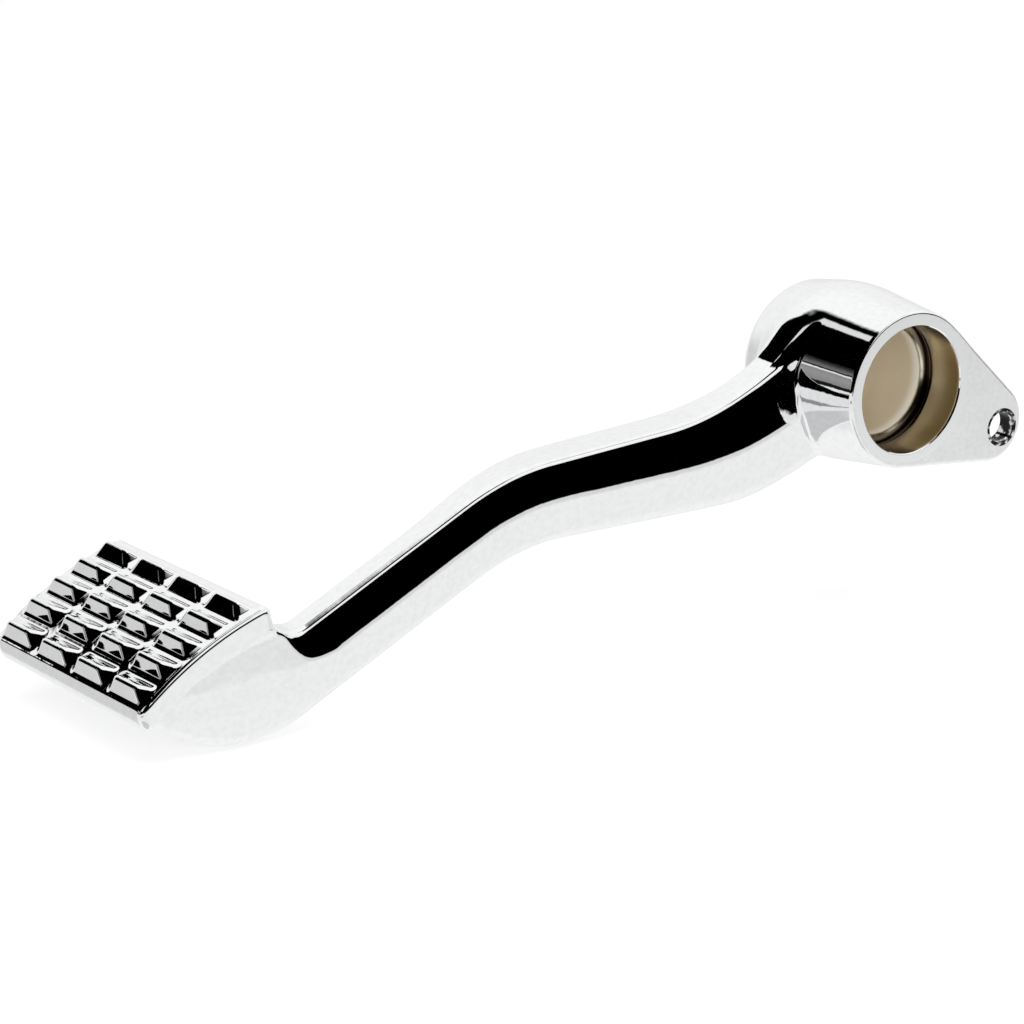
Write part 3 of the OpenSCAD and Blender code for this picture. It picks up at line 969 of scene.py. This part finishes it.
class PEDAL_OT_bores(bpy.types.Operator):
    """Turns the lining of the pivot bore and the wall of the lever's eye"""

    bl_idname = "pedal.bores"
    bl_label = "Bores"

    def execute(self, context):
        r, s, d = BORE["recess"], BORE["shaft"], BORE["depth"]
        groove_r, groove_end = r + BORE["relief"], -d + BORE["relief_w"]
        chamfer, mouth, end = BORE["shaft_chamfer"], -LINING_SHY, LINING_SHY - HUB["length"]
        line = rounded_profile([
            (BORE["mouth_lip"] + 0.3, -LINING_TUCK, 0), (BORE["mouth_lip"], mouth, 0),
            (r + BORE["mouth_chamfer"], mouth, 0.15), (r, -BORE["mouth_chamfer"], 0.2),
            (r, groove_end, 0.12), (groove_r, groove_end - 0.1, 0.2), (groove_r, -d, 0.3),
            (s + chamfer, -d, 0.25), (s, -d - chamfer, 0.3), (s, chamfer - HUB["length"], 0.3),
            (s + chamfer, end, 0.25), (BORE["end_lip"], end, 0),
            (BORE["end_lip"] + 0.2, LINING_TUCK - HUB["length"], 0)])
        lining = lathe("bore_lining", line, 256)
        dress(lining, shared_material("bore_finish", bore_material))
        e, lip, rounding = LEVER["eye_r"], LEVER["eye_r"] + LEVER["eye_lip"], LEVER["eye_round"]
        back = LINING_SHY - LEVER["thick"]
        line = rounded_profile([
            (lip + 0.15, -LINING_TUCK, 0), (lip, -LINING_SHY, 0), (e, -LINING_SHY, rounding),
            (e, back, rounding), (lip, back, 0), (lip + 0.15, LINING_TUCK - LEVER["thick"], 0)])
        dress(lathe("lever_eye", line, 96, EYE), shared_material("eye_finish", eye_material))
        return {"FINISHED"}


class PEDAL_OT_teeth(bpy.types.Operator):
    """Lays the teeth of the foot pad over its crown, each a four-sided frustum with rounded edges and feet"""

    bl_idname = "pedal.teeth"
    bl_label = "Teeth"

    def execute(self, context):
        fine = context.scene.pedal_looks.tooth_cell / MM * 1.0
        nu = 2 * round(PITCH_LEN / fine / 2) * TOOTH["rows"]
        nw = 2 * round(PITCH_W / fine / 2) * TOOTH["cols"]
        u = np.linspace(-0.5, 0.5, nu + 1) * PITCH_LEN * TOOTH["rows"]
        w = np.linspace(-0.5, 0.5, nw + 1) * PITCH_W * TOOTH["cols"]
        u, w = np.meshgrid(u, w, indexing="ij")
        # Each point's place from the middle of its own tooth
        last_row, last_column = TOOTH["rows"] // 2, TOOTH["cols"] // 2 - 1
        a = u - np.clip(np.floor(u / PITCH_LEN + 0.5), -last_row, last_row) * PITCH_LEN
        b = w - (np.clip(np.floor(w / PITCH_W), -last_column - 1, last_column) + 0.5) * PITCH_W
        h = tooth_height(a, b)
        e = 0.01
        slope_a = tooth_field(a + e, b, h) - tooth_field(a - e, b, h)
        slope_b = tooth_field(a, b + e, h) - tooth_field(a, b - e, h)
        slope_h = tooth_field(a, b, h + e) - tooth_field(a, b, h - e)
        ahead, up = pad_ways(PAD_TILT + u / PAD["crown"])
        across = np.array((0, -1, 0))
        normals = slope_a[..., None] * ahead + slope_b[..., None] * across + slope_h[..., None] * up
        normals /= np.linalg.norm(normals, axis=-1)[..., None]
        h = h + TEETH_LIFT
        h[(0, -1), :] = TEETH_BORDER
        h[:, (0, -1)] = TEETH_BORDER
        points = pad_point(u, w + PAD["width"] / 2, h).reshape(-1, 3)
        normals = normals.reshape(-1, 3)
        faces = facing_out(points, np.roll(grid_faces(nu + 1, nw + 1)[:, ::-1], 1, 1), normals)
        teeth = add_mesh("pad_teeth", points, faces, normals)
        dress(teeth, shared_material("chrome_plate", chrome_material))
        return {"FINISHED"}


def area_lamp(name, place, aim, size, watts):
    """A square lamp aimed at a point, which the chrome doesn't mirror."""
    data = bpy.data.lights.new(name, "AREA")
    data.size = size
    data.energy = watts
    lamp = bpy.data.objects.new(name, data)
    lamp.location = place
    lamp.rotation_euler = (Vector(aim) - lamp.location).to_track_quat("-Z", "Y").to_euler()
    lamp.visible_glossy = False
    bpy.context.scene.collection.objects.link(lamp)


def photo_camera(scene):
    """The camera at the photograph's place and angle."""
    data = bpy.data.cameras.new("camera")
    data.sensor_width = SENSOR_MM
    data.lens = FOCAL_PIXELS / PICTURE_PIXELS * SENSOR_MM
    data.clip_start = 0.01
    camera = bpy.data.objects.new("camera", data)
    right = Vector(CAMERA_RIGHT).normalized()
    ahead = Vector(CAMERA_AHEAD).normalized()
    above = right.cross(ahead).normalized()
    turn = Matrix((right, above, -ahead)).transposed().to_4x4()
    camera.matrix_world = Matrix.Translation(CAMERA_PLACE) @ turn
    scene.collection.objects.link(camera)
    scene.camera = camera


class PEDAL_OT_stage(bpy.types.Operator):
    """Sets up the floor, the lamps, the world and the camera"""

    bl_idname = "pedal.stage"
    bl_label = "Stage"

    def execute(self, context):
        scene = context.scene
        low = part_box(NODE)[0].z
        half = 30.0
        corners = [(-half, -half, low), (half, -half, low), (half, half, low), (-half, half, low)]
        mesh = bpy.data.meshes.new("floor")
        mesh.from_pydata(corners, [], [(0, 1, 2, 3)])
        floor = bpy.data.objects.new("floor", mesh)
        scene.collection.objects.link(floor)
        floor.data.materials.append(floor_material())
        floor.visible_glossy = False
        world_light(scene)
        area_lamp("key", (0.3, 0.4, 1.6), (0.08, -0.04, 0), 1.6, 9.0)
        area_lamp("fill", (0.75, 1.15, 0.35), (0, 0, 0), 0.8, 8.0)
        photo_camera(scene)
        scene.view_settings.view_transform = "Standard"
        return {"FINISHED"}


def floor_material():
    """Matt pale paper that glows to white where the camera sees it, and keeps the pedal's shadow."""
    material, t, shader = principled("floor_paper")
    place = t.node("ShaderNodeTexCoord").outputs["Object"]
    grain = t.noise(place, 30.0)
    t.link(t.blend(grain, (0.80, 0.80, 0.80, 1), (0.82, 0.82, 0.82, 1)), shader.inputs["Base Color"])
    shader.inputs["Roughness"].default_value = 1.0
    shader.inputs["Specular IOR Level"].default_value = 0.0
    path = t.node("ShaderNodeLightPath")
    shader.inputs["Emission Color"].default_value = (1, 1, 1, 1)
    seen = t.math("MAXIMUM", path.outputs["Is Camera Ray"], path.outputs["Is Glossy Ray"])
    seen = t.math("MAXIMUM", seen, path.outputs["Is Transmission Ray"])
    t.link(t.math("MULTIPLY", seen, 0.40), shader.inputs["Emission Strength"])
    return material


def world_light(scene):
    """A white background, an even light on the matt finishes, and the studio for the chrome to mirror."""
    world = bpy.data.worlds.new("studio")
    scene.world = world
    world.use_nodes = True
    t = Tree(world.node_tree)
    back = world.node_tree.nodes["Background"]
    direction = t.node("ShaderNodeTexCoord").outputs["Generated"]
    group = t.node("ShaderNodeGroup", node_tree=studio_group())
    t.link(direction, group.inputs["Direction"])
    path = t.node("ShaderNodeLightPath")
    colour = t.blend(path.outputs["Is Glossy Ray"], (0.60, 0.60, 0.60, 1), group.outputs["Tone"])
    colour = t.blend(path.outputs["Is Camera Ray"], colour, (1, 1, 1, 1))
    t.link(colour, back.inputs["Color"])
    back.inputs["Strength"].default_value = 1.0


class PEDAL_PT_panel(bpy.types.Panel):
    bl_idname = "PEDAL_PT_panel"
    bl_label = "Rear brake pedal"
    bl_space_type = "VIEW_3D"
    bl_region_type = "UI"
    bl_category = "Pedal"

    def draw(self, context):
        looks = context.scene.pedal_looks
        for name in ("chrome_colour", "undercoat_colour", "waviness", "cell", "tooth_cell"):
            self.layout.prop(looks, name)
        for made in OPERATORS:
            self.layout.operator(made.bl_idname)


OPERATORS = (PEDAL_OT_forging, PEDAL_OT_edges, PEDAL_OT_bores, PEDAL_OT_teeth, PEDAL_OT_stage)
CLASSES = (PedalLooks, *OPERATORS, PEDAL_PT_panel)


def register():
    for made in CLASSES:
        bpy.utils.register_class(made)
    bpy.types.Scene.pedal_looks = bpy.props.PointerProperty(type=PedalLooks)


def unregister():
    del bpy.types.Scene.pedal_looks
    for made in reversed(CLASSES):
        bpy.utils.unregister_class(made)


def main():
    register()
    bpy.ops.pedal.forging()
    bpy.ops.pedal.edges()
    bpy.ops.pedal.bores()
    bpy.ops.pedal.teeth()
    bpy.ops.pedal.stage()


if __name__ == "__main__":
    main()
